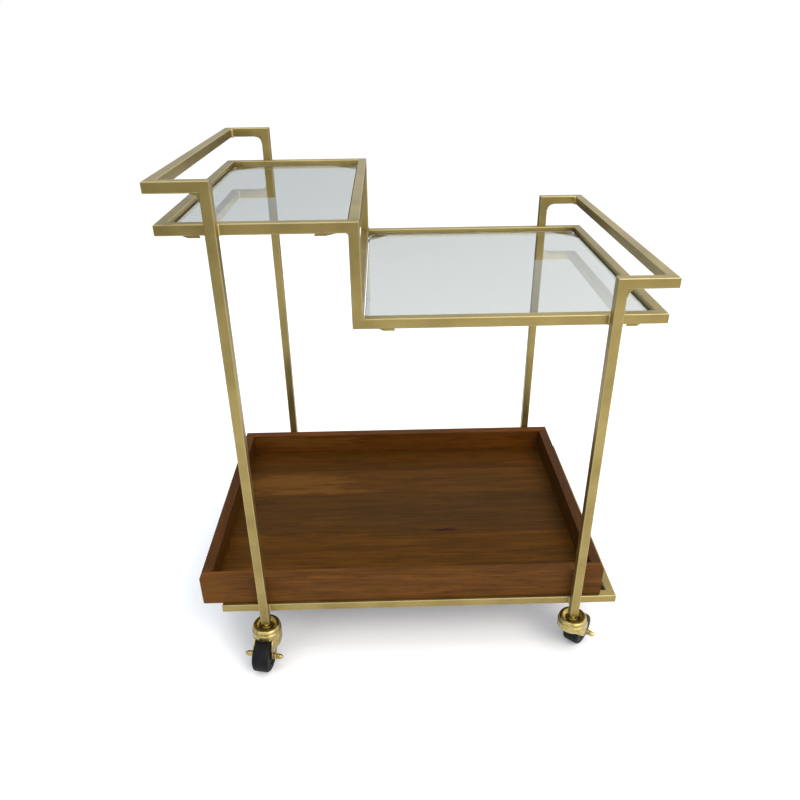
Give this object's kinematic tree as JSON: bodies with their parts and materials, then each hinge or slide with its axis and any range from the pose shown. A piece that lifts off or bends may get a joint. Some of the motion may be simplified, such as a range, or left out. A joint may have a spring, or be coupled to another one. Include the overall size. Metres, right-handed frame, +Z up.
{
  "type": "bar cart on wheels",
  "caption": "Stepped bar cart: square brass-painted tube frame, glass shelves at two heights, end handles, loose wooden tray below, hooded swivel casters.",
  "frame": {"origin": "on the floor, under the middle of the cart's outline with the tray's overhang counted", "axes": "+X towards the low handle, -Y the front, +Z up"},
  "size_m": [0.772, 0.662, 0.8855],
  "materials": {
    "brass_paint": "satin antique brass metallic paint on welded steel tube",
    "polished_brass": "polished brass plate",
    "clear_glass": "clear float glass with ground edges",
    "walnut": "dark stained hardwood, satin lacquer",
    "black_rubber": "matt black moulded rubber",
    "bare_steel": "plain turned steel",
    "clear_pad": "clear soft plastic"
  },
  "bodies": {
    "frame": {"leg_front_left": "brass_paint", "leg_front_right": "brass_paint", "leg_back_left": "brass_paint", "leg_back_right": "brass_paint", "handle_arm_front_left": "brass_paint", "handle_arm_back_left": "brass_paint", "handle_arm_front_right": "brass_paint", "handle_arm_back_right": "brass_paint", "handle_bar_left": "brass_paint", "handle_bar_right": "brass_paint", "upper_rail_front": "brass_paint", "upper_rail_back": "brass_paint", "upper_rail_left": "brass_paint", "upper_rail_right": "brass_paint", "step_post_front": "brass_paint", "step_post_back": "brass_paint", "lower_rail_front": "brass_paint", "lower_rail_back": "brass_paint", "lower_rail_left": "brass_paint", "lower_rail_right": "brass_paint", "base_rail_front": "brass_paint", "base_rail_back": "brass_paint", "base_rail_left": "brass_paint", "base_rail_right": "brass_paint", "upper_braces": "brass_paint", "lower_braces": "brass_paint", "base_braces": "brass_paint", "upper_glass": "clear_glass", "lower_glass": "clear_glass", "glass_pads": "clear_pad", "leg_inserts": "black_rubber", "caster_stems": "polished_brass", "swivel_balls": "bare_steel"},
    "tray": {"tray_wall_front": "walnut", "tray_wall_back": "walnut", "tray_wall_left": "walnut", "tray_wall_right": "walnut", "tray_boards": "walnut"},
    "caster_front_left": {"fork_front_left": "polished_brass", "axle_front_left": "bare_steel", "axle_nuts_front_left": "polished_brass"},
    "wheel_front_left": {"wheel_front_left": "black_rubber", "wheel_bush_front_left": "bare_steel"},
    "caster_front_right": {"fork_front_right": "polished_brass", "axle_front_right": "bare_steel", "axle_nuts_front_right": "polished_brass"},
    "wheel_front_right": {"wheel_front_right": "black_rubber", "wheel_bush_front_right": "bare_steel"},
    "caster_back_left": {"fork_back_left": "polished_brass", "axle_back_left": "bare_steel", "axle_nuts_back_left": "polished_brass"},
    "wheel_back_left": {"wheel_back_left": "black_rubber", "wheel_bush_back_left": "bare_steel"},
    "caster_back_right": {"fork_back_right": "polished_brass", "axle_back_right": "bare_steel", "axle_nuts_back_right": "polished_brass"},
    "wheel_back_right": {"wheel_back_right": "black_rubber", "wheel_bush_back_right": "bare_steel"}
  },
  "joints": [
    {"name": "tray_slide", "type": "slide", "parent": "frame", "child": "tray", "axis": [1, 0, 0], "range_m": [-0.32, 0.38]},
    {"name": "swivel_front_left", "type": "hinge", "parent": "frame", "child": "caster_front_left", "pos_m": [-0.272, -0.272, 0.0765], "axis": [0, 0, 1], "continuous": true},
    {"name": "roll_front_left", "type": "hinge", "parent": "caster_front_left", "child": "wheel_front_left", "pos_m": [-0.27686, -0.29957, 0.03], "axis": [0.9848, -0.1736, 0], "continuous": true},
    {"name": "swivel_front_right", "type": "hinge", "parent": "frame", "child": "caster_front_right", "pos_m": [0.304, -0.272, 0.0765], "axis": [0, 0, 1], "continuous": true},
    {"name": "roll_front_right", "type": "hinge", "parent": "caster_front_right", "child": "wheel_front_right", "pos_m": [0.32237, -0.25087, 0.03], "axis": [-0.7547, 0.6561, 0], "continuous": true},
    {"name": "swivel_back_left", "type": "hinge", "parent": "frame", "child": "caster_back_left", "pos_m": [-0.272, 0.272, 0.0765], "axis": [0, 0, 1], "continuous": true},
    {"name": "roll_back_left", "type": "hinge", "parent": "caster_back_left", "child": "wheel_back_left", "pos_m": [-0.27686, 0.29957, 0.03], "axis": [0.9848, 0.1736, 0], "continuous": true},
    {"name": "swivel_back_right", "type": "hinge", "parent": "frame", "child": "caster_back_right", "pos_m": [0.304, 0.272, 0.0765], "axis": [0, 0, 1], "continuous": true},
    {"name": "roll_back_right", "type": "hinge", "parent": "caster_back_right", "child": "wheel_back_right", "pos_m": [0.32237, 0.25087, 0.03], "axis": [-0.7547, -0.6561, 0], "continuous": true}
  ]
}
